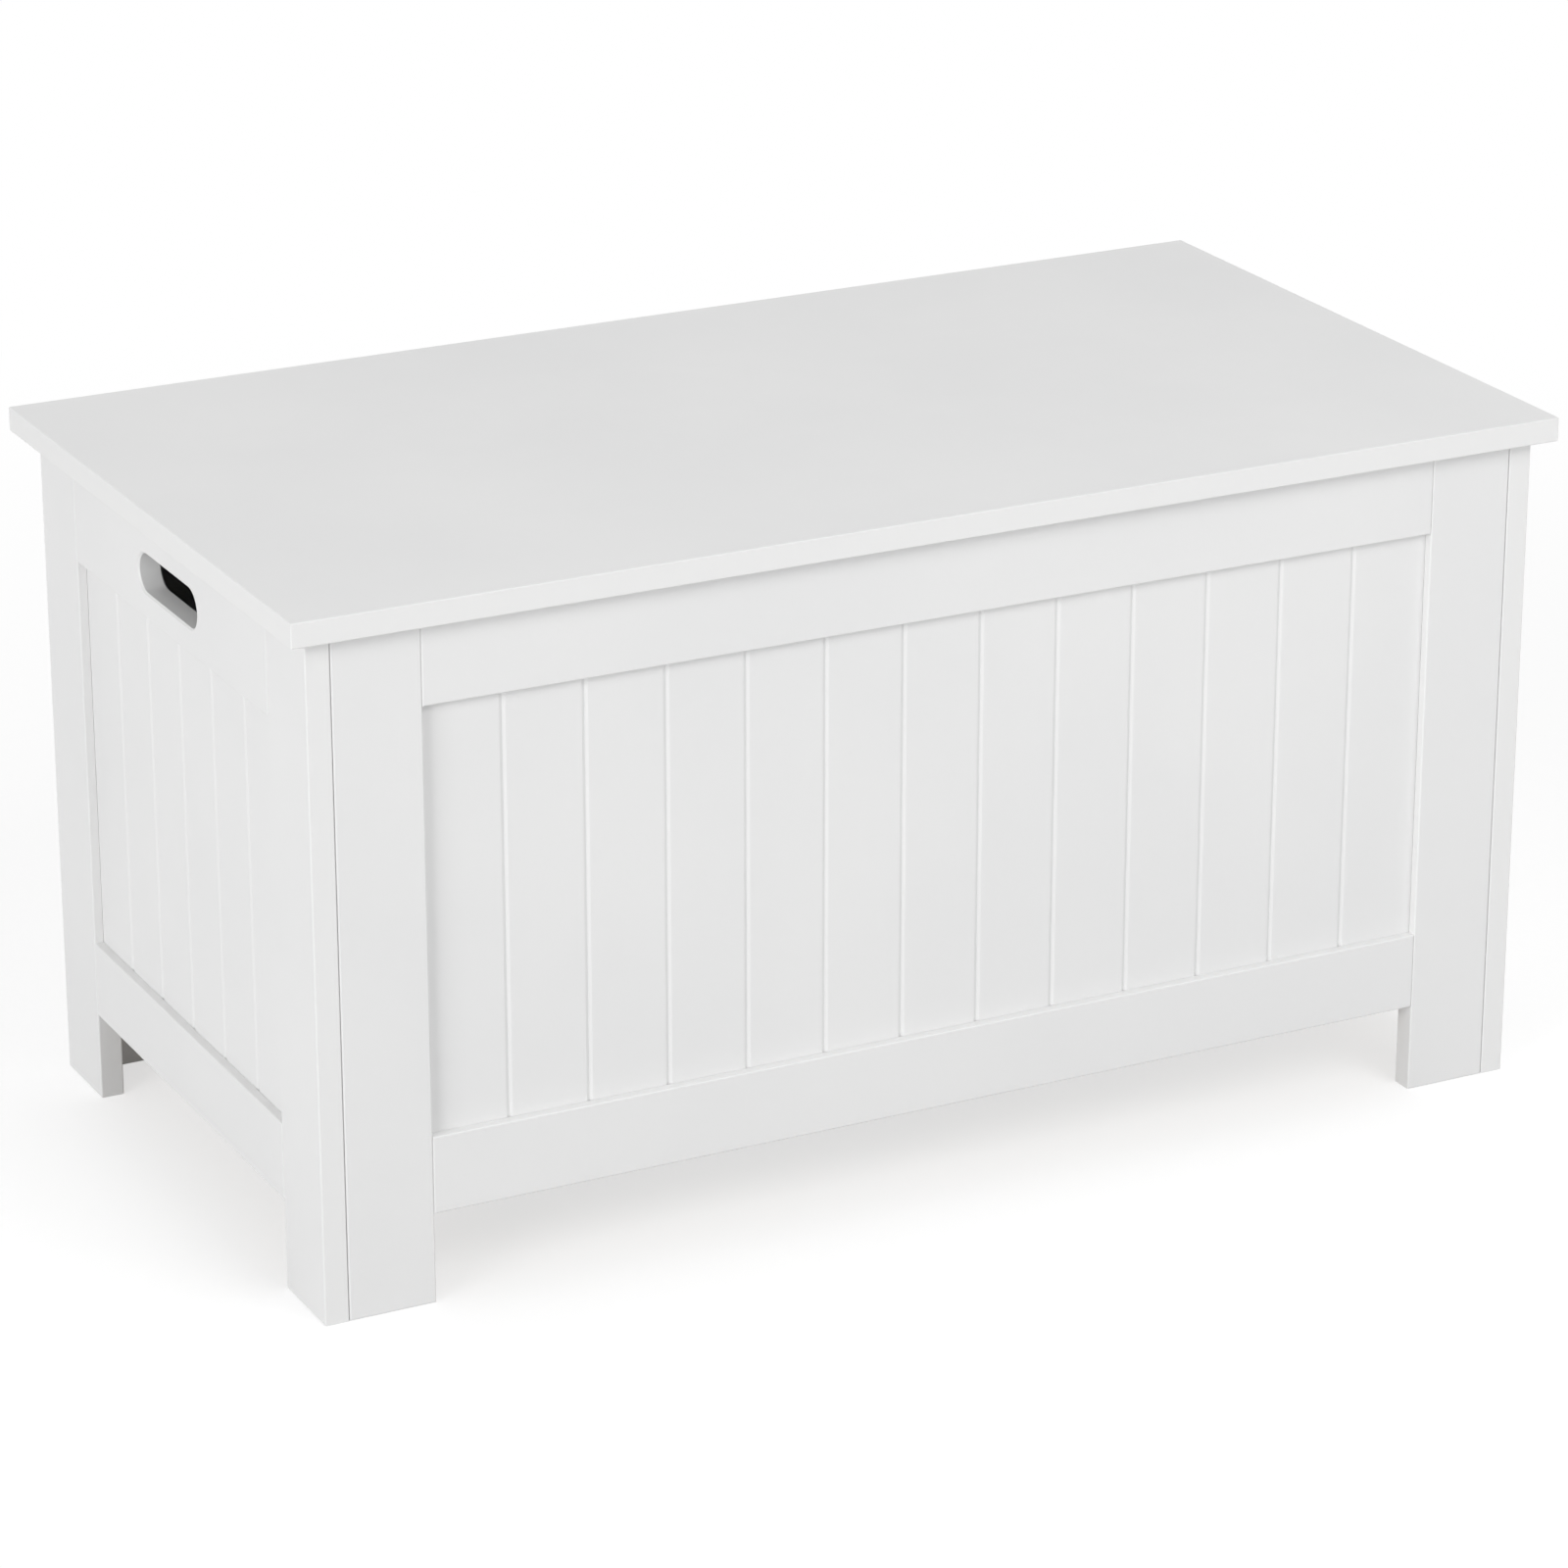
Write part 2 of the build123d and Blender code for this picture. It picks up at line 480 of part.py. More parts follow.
def stays():
    """The left stay, and the right one as its mirror image."""
    ring = Circle(STAY_WASHER_DIAMETER / 2) - Circle(RIVET_DIAMETER / 2 + RIVET_PLAY)
    two_layers = (LOWER_ARM_AT - STAY_FACE_GAP, UPPER_ARM_AT + STAY_STRIP + STAY_FACE_GAP)
    left = {
        "box_bracket": stay_box_bracket(),
        "friction_washer": layer(STAY_STRIP) * Pos(*BOX_PIVOT) * extrude(ring, STAY_WASHER),
        "box_rivet": stay_rivet(BOX_PIVOT, 0, LOWER_ARM_AT + STAY_STRIP + STAY_FACE_GAP, flush=True),
        "lower_arm": stay_arm(BOX_PIVOT, ELBOW, LOWER_ARM_AT),
        "elbow_rivet": stay_rivet(ELBOW, *two_layers, flush=False),
        "upper_arm": stay_arm(LID_PIVOT, ELBOW, UPPER_ARM_AT),
        "lid_rivet": stay_rivet(LID_PIVOT, *two_layers, flush=False),
        "lid_bracket": stay_lid_bracket(),
    }
    flange_middle = SIDE_INNER - LOWER_ARM_AT - (STAY_STRIP + STAY_FLANGE_WIDTH) / 2
    plate_face, flange_face = SIDE_INNER - STAY_STRIP, BODY_HEIGHT - STAY_STRIP
    plate_reach, flange_reach = STAY_PLATE_SCREW_PITCH / 2, STAY_FLANGE_SCREW_PITCH / 2
    plate_heights = (BOX_PIVOT[1] - plate_reach, BOX_PIVOT[1] + plate_reach)
    flange_places = (LID_PIVOT[0] - flange_reach, LID_PIVOT[0] + flange_reach)
    for side, sign in SIDES.items():
        for piece, solid in left.items():
            nodes[f"{side}_stay_{piece}"] = mirror(solid, Plane.YZ) if sign > 0 else solid
        box_spots = [(sign * plate_face, BOX_PIVOT[0], z) for z in plate_heights]
        lid_spots = [(sign * flange_middle, y, flange_face) for y in flange_places]
        box_boards = [f"{side}_stay_box_bracket", f"{side}_rear_stile"]
        lid_boards = [f"{side}_stay_lid_bracket", "lid_board"]
        fix("stay_box_screws", box_boards, box_spots, (-sign, 0, 0), STAY_STRIP + BOARD_BITE)
        fix("stay_lid_screws", lid_boards, lid_spots, DOWN, STAY_STRIP + LID_BITE)


def main():
    """Builds every piece and writes one file for each node."""
    walls()
    corner_fixings()
    base()
    lid()
    hinges()
    stays()
    os.makedirs("parts", exist_ok=True)
    for name, shape in nodes.items():
        export_step(Compound(shape) if isinstance(shape, list) else shape, f"parts/{name}.step")


main()
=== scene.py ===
"""Dresses the toy box: lacquered boards, plated fittings and their fasteners, in a plain studio.

Everything is in metres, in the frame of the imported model: X to the right, Y to the back, Z up.
The front faces -Y.
"""
import logging
import math
from dataclasses import dataclass, field
from enum import Enum
from typing import Any, Mapping, Sequence, Union

import bmesh
import bpy
from mathutils import Matrix, Vector


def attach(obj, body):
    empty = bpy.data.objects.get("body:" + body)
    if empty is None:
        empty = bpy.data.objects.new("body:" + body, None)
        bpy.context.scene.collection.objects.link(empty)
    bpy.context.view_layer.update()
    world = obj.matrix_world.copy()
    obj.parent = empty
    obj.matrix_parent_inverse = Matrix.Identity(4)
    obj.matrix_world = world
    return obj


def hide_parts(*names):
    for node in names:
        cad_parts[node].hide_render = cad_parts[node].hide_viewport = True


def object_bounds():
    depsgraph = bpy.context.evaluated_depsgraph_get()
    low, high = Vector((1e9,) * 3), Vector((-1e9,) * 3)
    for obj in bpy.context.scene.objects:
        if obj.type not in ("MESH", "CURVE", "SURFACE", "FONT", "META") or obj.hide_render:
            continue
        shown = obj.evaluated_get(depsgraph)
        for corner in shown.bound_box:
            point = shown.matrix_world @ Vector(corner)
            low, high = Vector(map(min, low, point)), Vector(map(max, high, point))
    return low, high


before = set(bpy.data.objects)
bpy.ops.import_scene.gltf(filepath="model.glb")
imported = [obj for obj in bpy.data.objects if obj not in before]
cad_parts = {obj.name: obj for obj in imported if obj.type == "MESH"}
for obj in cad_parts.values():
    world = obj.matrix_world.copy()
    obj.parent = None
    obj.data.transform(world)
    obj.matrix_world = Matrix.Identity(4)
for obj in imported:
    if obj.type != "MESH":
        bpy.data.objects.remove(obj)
CAD_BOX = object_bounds()

LOG = logging.getLogger("toy_box")
MM = 0.001
WELD = 0.005 * MM
SEAM = 0.001 * MM
TOUCH = 0.01 * MM
NOISE_MEAN = 0.5
SIDES = ("left", "right")
ENDS = ("front", "back")

Colour = tuple[float, float, float]
Range = tuple[float, float]
Number = Union[float, "Wire"]
Socket = bpy.types.NodeSocket


class Along(Enum):
    """An axis that a board faces along, or that a grain runs along."""

    X = 0
    Y = 1
    Z = 2


class Wire:
    """A value in a shader; arithmetic on it adds Math nodes."""

    def __init__(self, shader: "Shader", socket: Socket) -> None:
        """Keeps the shader and the output socket that carries the value."""
        self.shader = shader
        self.socket = socket

    def _math(self, operation: str, *operands: Number) -> "Wire":
        """Adds one Math node and gives its result."""
        node = self.shader.node("ShaderNodeMath", {"operation": operation}, dict(enumerate(operands)))
        return Wire(self.shader, node.outputs[0])

    def __add__(self, other: Number) -> "Wire":
        """Sum."""
        return self._math("ADD", self, other)

    def __radd__(self, other: float) -> "Wire":
        """Sum with the wire on the right."""
        return self._math("ADD", other, self)

    def __sub__(self, other: Number) -> "Wire":
        """Difference."""
        return self._math("SUBTRACT", self, other)

    def __rsub__(self, other: float) -> "Wire":
        """Difference with the wire on the right."""
        return self._math("SUBTRACT", other, self)

    def __mul__(self, other: Number) -> "Wire":
        """Product."""
        return self._math("MULTIPLY", self, other)

    def __rmul__(self, other: float) -> "Wire":
        """Product with the wire on the right."""
        return self._math("MULTIPLY", other, self)

    def __abs__(self) -> "Wire":
        """Size without sign."""
        return self._math("ABSOLUTE", self)

    def between(self, low: float, high: float) -> "Wire":
        """Ramps smoothly from 0 to 1.

        Args:
            low: value that gives 0.
            high: value that gives 1.

        Returns:
            The ramped value.
        """
        inputs = {"Value": self, "From Min": low, "From Max": high}
        node = self.shader.node("ShaderNodeMapRange", {"interpolation_type": "SMOOTHSTEP"}, inputs)
        return Wire(self.shader, node.outputs["Result"])


class Shader:
    """A node tree under construction, with the few steps that the finishes share."""

    def __init__(self, owner: bpy.types.Material | bpy.types.World) -> None:
        """Empties the node tree.

        Args:
            owner: material or world that the tree belongs to.
        """
        self.owner = owner
        owner.use_nodes = True
        self.tree = owner.node_tree
        self.tree.nodes.clear()

    @classmethod
    def named(cls, name: str) -> "Shader":
        """Starts a new material of that name."""
        return cls(bpy.data.materials.new(name))

    def node(
        self,
        kind: str,
        settings: Mapping[str, Any] | None = None,
        inputs: Mapping[str | int, Any] | None = None,
    ) -> bpy.types.ShaderNode:
        """Adds a node of any kind.

        Args:
            kind: Blender's type name of the node.
            settings: its properties, set first.
            inputs: values, wires or sockets for its inputs, by name or index.

        Returns:
            The new node.
        """
        node = self.tree.nodes.new(kind)
        for key, value in (settings or {}).items():
            setattr(node, key, value)
        for key, value in (inputs or {}).items():
            source = value.socket if isinstance(value, Wire) else value
            if isinstance(source, Socket):
                self.tree.links.new(source, node.inputs[key])
            else:
                node.inputs[key].default_value = source
        return node

    def place(self, stretch: Sequence[float] | None = None) -> Socket:
        """Object coordinates.

        Args:
            stretch: scale along X, Y and Z, if any.

        Returns:
            The vector's socket.
        """
        point = self.node("ShaderNodeTexCoord").outputs["Object"]
        if stretch is None:
            return point
        inputs = {"Vector": point, "Scale": tuple(stretch)}
        return self.node("ShaderNodeMapping", {}, inputs).outputs["Vector"]

    def noise(self, vector: Socket, scale: float, detail: float = 2.0, rough: float = 0.5) -> Wire:
        """Soft noise from 0 to 1 that averages a half.

        Args:
            vector: where to read it.
            scale: cells in a metre.
            detail: octaves.
            rough: share of each finer octave.

        Returns:
            The noise value.
        """
        inputs = {"Vector": vector, "Scale": scale, "Detail": detail, "Roughness": rough}
        return Wire(self, self.node("ShaderNodeTexNoise", {}, inputs).outputs[0])

    def facing(self, axis: Along) -> Wire:
        """How far the surface looks along an axis of its piece, from 0 to 1."""
        normal = self.node("ShaderNodeTexCoord").outputs["Normal"]
        return abs(Wire(self, self.node("ShaderNodeSeparateXYZ", {}, {0: normal}).outputs[axis.value]))

    def seen(self) -> Wire:
        """Tells rays that show a surface from rays that only carry light.

        Returns:
            1 for rays from the camera, a mirror or glass, and 0 for others.
        """
        path = self.node("ShaderNodeLightPath").outputs
        kinds = ("Camera", "Glossy", "Transmission")
        camera, glossy, clear = (Wire(self, path[f"Is {kind} Ray"]) for kind in kinds)
        return camera + glossy + clear

    def mix(self, share: Wire, low: Colour | Socket, high: Colour | Socket) -> Socket:
        """Blends two colours.

        Args:
            share: 0 gives low and 1 gives high.
            low: first colour, or its socket.
            high: second colour, or its socket.

        Returns:
            The blended colour's socket.
        """
        first, second = (end if isinstance(end, Socket) else (*end, 1.0) for end in (low, high))
        inputs = {0: share, 6: first, 7: second}
        return self.node("ShaderNodeMix", {"data_type": "RGBA"}, inputs).outputs[2]

    def bump(self, height: Wire, depth: float) -> Socket:
        """Turns a height from 0 to 1 into a normal.

        Args:
            height: the relief.
            depth: its size in metres.

        Returns:
            The normal's socket.
        """
        return self.node("ShaderNodeBump", {}, {"Distance": depth, "Height": height}).outputs[0]

    def surface(self, inputs: Mapping[str, Any]) -> bpy.types.Material:
        """Closes the material with one Principled shader.

        Args:
            inputs: the shader's values and links.

        Returns:
            The finished material.
        """
        body = self.node("ShaderNodeBsdfPrincipled", {}, inputs)
        self.node("ShaderNodeOutputMaterial", {}, {"Surface": body.outputs[0]})
        return self.owner


@dataclass(frozen=True)
class Lacquer:
    """Sprayed satin lacquer on fibreboard, drier and rougher on the board's sawn edges, whose colour is
    a touch paler than the faces as a painted highlight.
    """

    name: str
    face: Along
    tint: Colour = (0.80, 0.80, 0.798)
    shade: Colour = (0.778, 0.779, 0.779)
    # Edge colour a touch paler than the faces: a painted highlight on the sawn edges.
    edge_highlight_tint: Colour = (0.805, 0.805, 0.802)
    roughness: float = 0.46
    edge_roughness: float = 0.54
    edge_turn: Range = (0.45, 0.8)
    mottle_scale: float = 5.0
    mottle_range: Range = (0.3, 0.7)
    patch_scale: float = 38.0
    patch_gloss: float = 0.12
    peel: float = 0.035 * MM
    peel_scale: float = 420.0
    fibre: float = 0.05 * MM
    fibre_scale: float = 900.0
    fibre_stretch: float = 0.12

    def material(self) -> bpy.types.Material:
        """Builds the lacquer for boards that face along one axis.

        Returns:
            The material.
        """
        shader = Shader.named(self.name)
        point = shader.place()
        edge = 1.0 - shader.facing(self.face).between(*self.edge_turn)
        mottle = shader.noise(point, self.mottle_scale, detail=3.0)
        patches = shader.noise(point, self.patch_scale)
        peel = shader.noise(point, self.peel_scale, detail=1.0)
        along_edge = [self.fibre_stretch if axis is self.face else 1.0 for axis in Along]
        fibre = shader.noise(shader.place(along_edge), self.fibre_scale, rough=0.7)
        broad = shader.mix(mottle.between(*self.mottle_range), self.tint, self.shade)
        satin = self.roughness + (patches - NOISE_MEAN) * self.patch_gloss
        relief = peel * (1.0 - edge) + fibre * edge * (self.fibre / self.peel)
        return shader.surface({
            # The sawn edges take the paler edge colour, a painted highlight; their extra roughness is
            # real.
            "Base Color": shader.mix(edge, broad, self.edge_highlight_tint),
            "Roughness": satin + edge * (self.edge_roughness - self.roughness),
            "Normal": shader.bump(relief, self.peel),
        })


@dataclass(frozen=True)
class Zinc:
    """Bright zinc plating on rolled and turned steel, with a faint passivated tint."""

    name: str = "bright_zinc"
    cool: Colour = (0.60, 0.635, 0.67)
    warm: Colour = (0.67, 0.655, 0.60)
    roughness: float = 0.30
    tint_scale: float = 55.0
    tint_range: Range = (0.35, 0.68)
    spangle_scale: float = 700.0
    spangle_gloss: float = 0.22
    line_scale: float = 2600.0
    line_stretch: tuple[float, float, float] = (1.0, 0.06, 1.0)
    line_gloss: float = 0.12
    line_share: float = 0.6
    drawn: float = 0.02 * MM

    def material(self) -> bpy.types.Material:
        """Builds the plating.

        Returns:
            The material.
        """
        shader = Shader.named(self.name)
        point = shader.place()
        tint = shader.noise(point, self.tint_scale, detail=3.0)
        spangle = shader.noise(point, self.spangle_scale, rough=0.6)
        lines = shader.noise(shader.place(self.line_stretch), self.line_scale, detail=1.0)
        gloss = (spangle - NOISE_MEAN) * self.spangle_gloss
        relief = lines * self.line_share + spangle * (1.0 - self.line_share)
        return shader.surface({
            "Base Color": shader.mix(tint.between(*self.tint_range), self.cool, self.warm),
            "Metallic": 1.0,
            "Roughness": self.roughness + gloss + (lines - NOISE_MEAN) * self.line_gloss,
            "Normal": shader.bump(relief, self.drawn),
        })


@dataclass(frozen=True)
class Timber:
    """Bare planed timber with growth rings and fibres along its grain."""

    name: str
    grain: Along
    early: Colour
    late: Colour
    rings_per_metre: float = 130.0
    ring_stretch: float = 0.05
    ring_range: Range = (0.38, 0.72)
    ring_share: float = 0.75
    sway_scale: float = 14.0
    sway: float = 0.6
    roughness: float = 0.58
    fibre: float = 0.06 * MM
    fibre_scale: float = 1900.0
    fibre_stretch: float = 0.02
    fibre_gloss: float = 0.2

    def _along(self, stretch: float) -> list[float]:
        """Scale that draws a pattern out along the grain."""
        return [stretch if axis is self.grain else 1.0 for axis in Along]

    def material(self) -> bpy.types.Material:
        """Builds the timber.

        Returns:
            The material.
        """
        shader = Shader.named(self.name)
        point = shader.place(self._along(self.ring_stretch))
        sway = (shader.noise(point, self.sway_scale) - NOISE_MEAN) * self.sway
        rings = shader.noise(point, self.rings_per_metre, detail=1.0) + sway
        fibres = shader.noise(shader.place(self._along(self.fibre_stretch)), self.fibre_scale)
        share = rings.between(*self.ring_range) * self.ring_share + fibres * (1.0 - self.ring_share)
        return shader.surface({
            "Base Color": shader.mix(share, self.early, self.late),
            "Roughness": self.roughness + (fibres - NOISE_MEAN) * self.fibre_gloss,
            "Normal": shader.bump(fibres, self.fibre),
        })


@dataclass(frozen=True)
class Nylon:
    """Moulded white plastic with a fine eroded texture."""

    name: str = "white_nylon"
    tint: Colour = (0.82, 0.82, 0.805)
    shade: Colour = (0.77, 0.77, 0.75)
    roughness: float = 0.46
    cloud_scale: float = 60.0
    grain: float = 0.02 * MM
    grain_scale: float = 2400.0
    grain_gloss: float = 0.16

    def material(self) -> bpy.types.Material:
        """Builds the plastic.

        Returns:
            The material.
        """
        shader = Shader.named(self.name)
        point = shader.place()
        cloud = shader.noise(point, self.cloud_scale)
        texture = shader.noise(point, self.grain_scale, rough=0.7)
        return shader.surface({
            "Base Color": shader.mix(cloud, self.tint, self.shade),
            "Roughness": self.roughness + (texture - NOISE_MEAN) * self.grain_gloss,
            "Normal": shader.bump(texture, self.grain),
        })


@dataclass(frozen=True)
class StudioFloor:
    """Pale matt floor that shows white where it is seen, and keeps the soft shadow near the box."""

    name: str = "studio_floor"
    glow: float = 0.62
    tint: float = 0.44
    bounce: float = 0.64
    near: float = 0.7
    far: float = 1.7

    def material(self) -> bpy.types.Material:
        """Builds the floor's material.

        Returns:
            The material.
        """
        shader = Shader.named(self.name)
        reach = shader.node("ShaderNodeVectorMath", {"operation": "LENGTH"}, {0: shader.place()})
        away = Wire(shader, reach.outputs["Value"]).between(self.near, self.far)
        bounce = shader.node("ShaderNodeBsdfDiffuse", {}, {"Color": (*(self.bounce,) * 3, 1.0)})
        shown = shader.node("ShaderNodeBsdfDiffuse", {}, {"Color": (*(self.tint,) * 3, 1.0)})
        glow = shader.node("ShaderNodeEmission", {}, {"Strength": self.glow})
        white = shader.node("ShaderNodeEmission", {}, {"Strength": 1.0})
        lit = shader.node("ShaderNodeAddShader", {}, {0: shown.outputs[0], 1: glow.outputs[0]})
        near_and_far = {0: away, 1: lit.outputs[0], 2: white.outputs[0]}
        fade = shader.node("ShaderNodeMixShader", {}, near_and_far)
        lit_and_seen = {0: shader.seen(), 1: bounce.outputs[0], 2: fade.outputs[0]}
        both = shader.node("ShaderNodeMixShader", {}, lit_and_seen)
        shader.node("ShaderNodeOutputMaterial", {}, {"Surface": both.outputs[0]})
        return shader.owner


@dataclass(frozen=True)
class Palette:
    """Finishes that more than one sub-assembly uses."""

    zinc: bpy.types.Material = field(default_factory=lambda: Zinc().material())
    nylon: bpy.types.Material = field(default_factory=lambda: Nylon().material())


def dress(nodes: Sequence[str], material: bpy.types.Material) -> None:
    """Gives CAD nodes one finish.

    Args:
        nodes: names of the nodes.
        material: their finish.
    """
    for name in nodes:
        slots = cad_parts[name].data.materials
        slots.clear()
        slots.append(material)
        LOG.info("%s: %s", name, material.name)


def pieces_of(node: str) -> list[list[Vector]]:
    """Points of each separate solid in a CAD node.

    Args:
        node: name of the node.

    Returns:
        One list of points for each solid.
    """
    shape = bmesh.new()
    shape.from_mesh(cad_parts[node].data)
    bmesh.ops.remove_doubles(shape, verts=shape.verts, dist=WELD)
    waiting, found = set(shape.verts), []
    while waiting:
        edge = [waiting.pop()]
        piece = []
        while edge:
            point = edge.pop()
            piece.append(point.co.copy())
            near = {link.other_vert(point) for link in point.link_edges} & waiting
            waiting -= near
            edge.extend(near)
        found.append(piece)
    shape.free()
    return found


def span(points: Sequence[Vector], axis: int) -> tuple[float, float]:
    """Lowest and highest place of some points along an axis."""
    places = [point[axis] for point in points]
    return min(places), max(places)


class Fastener:
    """A small fastener in place of plain CAD solids.

    It is modelled with its head's face at the origin, facing +Z.
    """

    def shape(self, length: float) -> bmesh.types.BMesh:
        """Models one, of a given length from its head's face."""
        raise NotImplementedError

    def head_end(self, piece: Sequence[Vector]) -> tuple[int, float]:
        """Axis of the solid that it stands for, and where its head's face is along it."""
        raise NotImplementedError

    def mesh(self, node: str) -> bpy.types.Mesh:
        """Models one at the place of each solid in a CAD node.

        Args:
            node: name of the node.

        Returns:
            All of them in one mesh.
        """
        whole = bmesh.new()
        mesh = bpy.data.meshes.new(node)
        for piece in pieces_of(node):
            axis, top = self.head_end(piece)
            spans = [span(piece, i) for i in range(3)]
            middle = Vector([(low + high) / 2 for low, high in spans])
            facing = Vector((0.0, 0.0, 0.0))
            facing[axis] = math.copysign(1.0, top - middle[axis])
            middle[axis] = top
            one = self.shape(spans[axis][1] - spans[axis][0])
            place = Matrix.Translation(middle) @ facing.to_track_quat("Z", "Y").to_matrix().to_4x4()
            bmesh.ops.transform(one, matrix=place, verts=one.verts)
            one.to_mesh(mesh)
            one.free()
            whole.from_mesh(mesh)
        whole.to_mesh(mesh)
        whole.free()
        return mesh

    def stand_for(
        self,
        node: str,
        name: str,
        body: str,
        slot: str,
        material: bpy.types.Material,
    ) -> None:
        """Puts finished fasteners in the place of a CAD node.

        Args:
            node: the CAD node.
            name: name of the new piece.
            body: body that it moves with.
            slot: not used.
            material: its finish.
        """
        piece = bpy.data.objects.new(name, self.mesh(node))
        piece.data.materials.append(material)
        bpy.context.scene.collection.objects.link(piece)
        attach(piece, body)
        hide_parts(node)
        LOG.info("%s: %d faces, in place of %s", name, len(piece.data.polygons), node)


@dataclass(frozen=True)
class CrossScrew(Fastener):
    """Countersunk wood screw with a cross recess in its head."""

    diameter: float
    head: float
    arm: float = 0.20
    reach: float = 0.62
    recess: float = 0.42
    recess_floor: float = 0.55
    point: float = 0.12
    land: float = 0.12 * MM
    sides: int = 32

    def head_end(self, piece: Sequence[Vector]) -> tuple[int, float]:
        """Finds the head by its width.

        Args:
            piece: points of the solid.

        Returns:
            Longest axis of the solid, and its wider end.
        """
        lengths = [high - low for low, high in (span(piece, i) for i in range(3))]
        axis = lengths.index(max(lengths))
        across = (axis + 1) % 3

        def width(end: float) -> float:
            """Width of the solid at one end."""
            low, high = span([point for point in piece if abs(point[axis] - end) < TOUCH], across)
            return high - low

        return axis, max(span(piece, axis), key=width)

    @staticmethod
    def _lower(
        shape: bmesh.types.BMesh,
        edges: list[bmesh.types.BMEdge],
        scale: float,
        drop: float,
    ) -> list[bmesh.types.BMEdge]:
        """Extrudes a loop of edges downwards to a new size.

        Args:
            shape: the screw.
            edges: the loop.
            scale: new size against the old.
            drop: distance down.

        Returns:
            The new loop of edges.
        """
        made = bmesh.ops.extrude_edge_only(shape, edges=edges)["geom"]
        verts = {part for part in made if isinstance(part, bmesh.types.BMVert)}
        bmesh.ops.scale(shape, vec=(scale, scale, 1.0), verts=list(verts))
        bmesh.ops.translate(shape, vec=(0.0, 0.0, -drop), verts=list(verts))
        lines = [part for part in made if isinstance(part, bmesh.types.BMEdge)]
        return [line for line in lines if verts.issuperset(line.verts)]

    def shape(self, length: float) -> bmesh.types.BMesh:
        """Models one screw.

        Args:
            length: head's face to point.

        Returns:
            The screw.
        """
        shape = bmesh.new()
        half = self.head / 2
        bmesh.ops.create_circle(shape, segments=self.sides, radius=half)
        rim = list(shape.edges)
        near, far = self.arm * half, self.reach * half
        corners = ((far, -near, 0.0), (far, near, 0.0), (near, near, 0.0))
        quarter = [Vector(corner) for corner in corners]
        turns = [Matrix.Rotation(turn * math.pi / 2, 3, "Z") for turn in range(4)]
        verts = [shape.verts.new(turn @ corner) for turn in turns for corner in quarter]
        cross = [shape.edges.new((verts[i - 1], verts[i])) for i in range(len(verts))]
        bmesh.ops.bridge_loops(shape, edges=rim + cross)
        floor = self._lower(shape, cross, self.recess_floor, self.recess * half)
        bmesh.ops.edgeloop_fill(shape, edges=floor)
        cone = (self.head - self.diameter) / 2
        edge = self._lower(shape, rim, 1.0, self.land)
        neck = self._lower(shape, edge, self.diameter / self.head, cone - self.land)
        shank = self._lower(shape, neck, 1.0, length - cone - self.diameter)
        tip = self._lower(shape, shank, self.point, self.diameter)
        bmesh.ops.edgeloop_fill(shape, edges=tip)
        bmesh.ops.recalc_face_normals(shape, faces=shape.faces)
        return shape


@dataclass(frozen=True)
class CapDisc(Fastener):
    """Thin moulded disc over a cam, with a ring sunk in its face and a rounded rim."""

    radius: float = 8.5 * MM
    rim: float = 0.36 * MM
    rim_step: float = 0.3
    ring: float = 6.0 * MM
    ring_width: float = 0.8 * MM
    ring_depth: float = 0.18 * MM
    sides: int = 48

    def head_end(self, piece: Sequence[Vector]) -> tuple[int, float]:
        """The Y axis, and the face that looks to the middle of the box."""
        return Along.Y.value, min(span(piece, Along.Y.value), key=abs)

    def shape(self, length: float) -> bmesh.types.BMesh:
        """Models one disc.

        Args:
            length: its thickness.

        Returns:
            The disc.
        """
        shape = bmesh.new()
        half = self.ring_width / 2
        step = self.rim_step * self.rim
        outline = (
            (0.0, 0.0),
            (self.ring - half, 0.0),
            (self.ring, -self.ring_depth),
            (self.ring + half, 0.0),
            (self.radius - self.rim, 0.0),
            (self.radius - step, -step),
            (self.radius, -self.rim),
            (self.radius, -length),
            (0.0, -length),
        )
        verts = [shape.verts.new((reach, 0.0, height)) for reach, height in outline]
        edges = [shape.edges.new(pair) for pair in zip(verts, verts[1:])]
        turn = {"cent": (0.0, 0.0, 0.0), "axis": (0.0, 0.0, 1.0), "angle": 2 * math.pi}
        bmesh.ops.spin(shape, geom=verts + edges, use_merge=True, steps=self.sides, **turn)
        bmesh.ops.remove_doubles(shape, verts=shape.verts, dist=SEAM)
        bmesh.ops.recalc_face_normals(shape, faces=shape.faces)
        return shape


@dataclass
class Carcass:
    """The four framed and panelled walls."""

    members: tuple[str, ...] = ("stile", "rail", "panel")

    def _boards(self, walls: tuple[str, ...]) -> list[str]:
        """Names of all the boards in some walls."""
        names = [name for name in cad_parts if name.startswith(walls)]
        return [name for name in names if name.endswith(self.members)]

    def dress(self) -> None:
        """Lacquers every board, by the way that its wall faces."""
        dress(self._boards(ENDS), Lacquer("lacquer_ends", Along.Y).material())
        dress(self._boards(SIDES), Lacquer("lacquer_sides", Along.X).material())


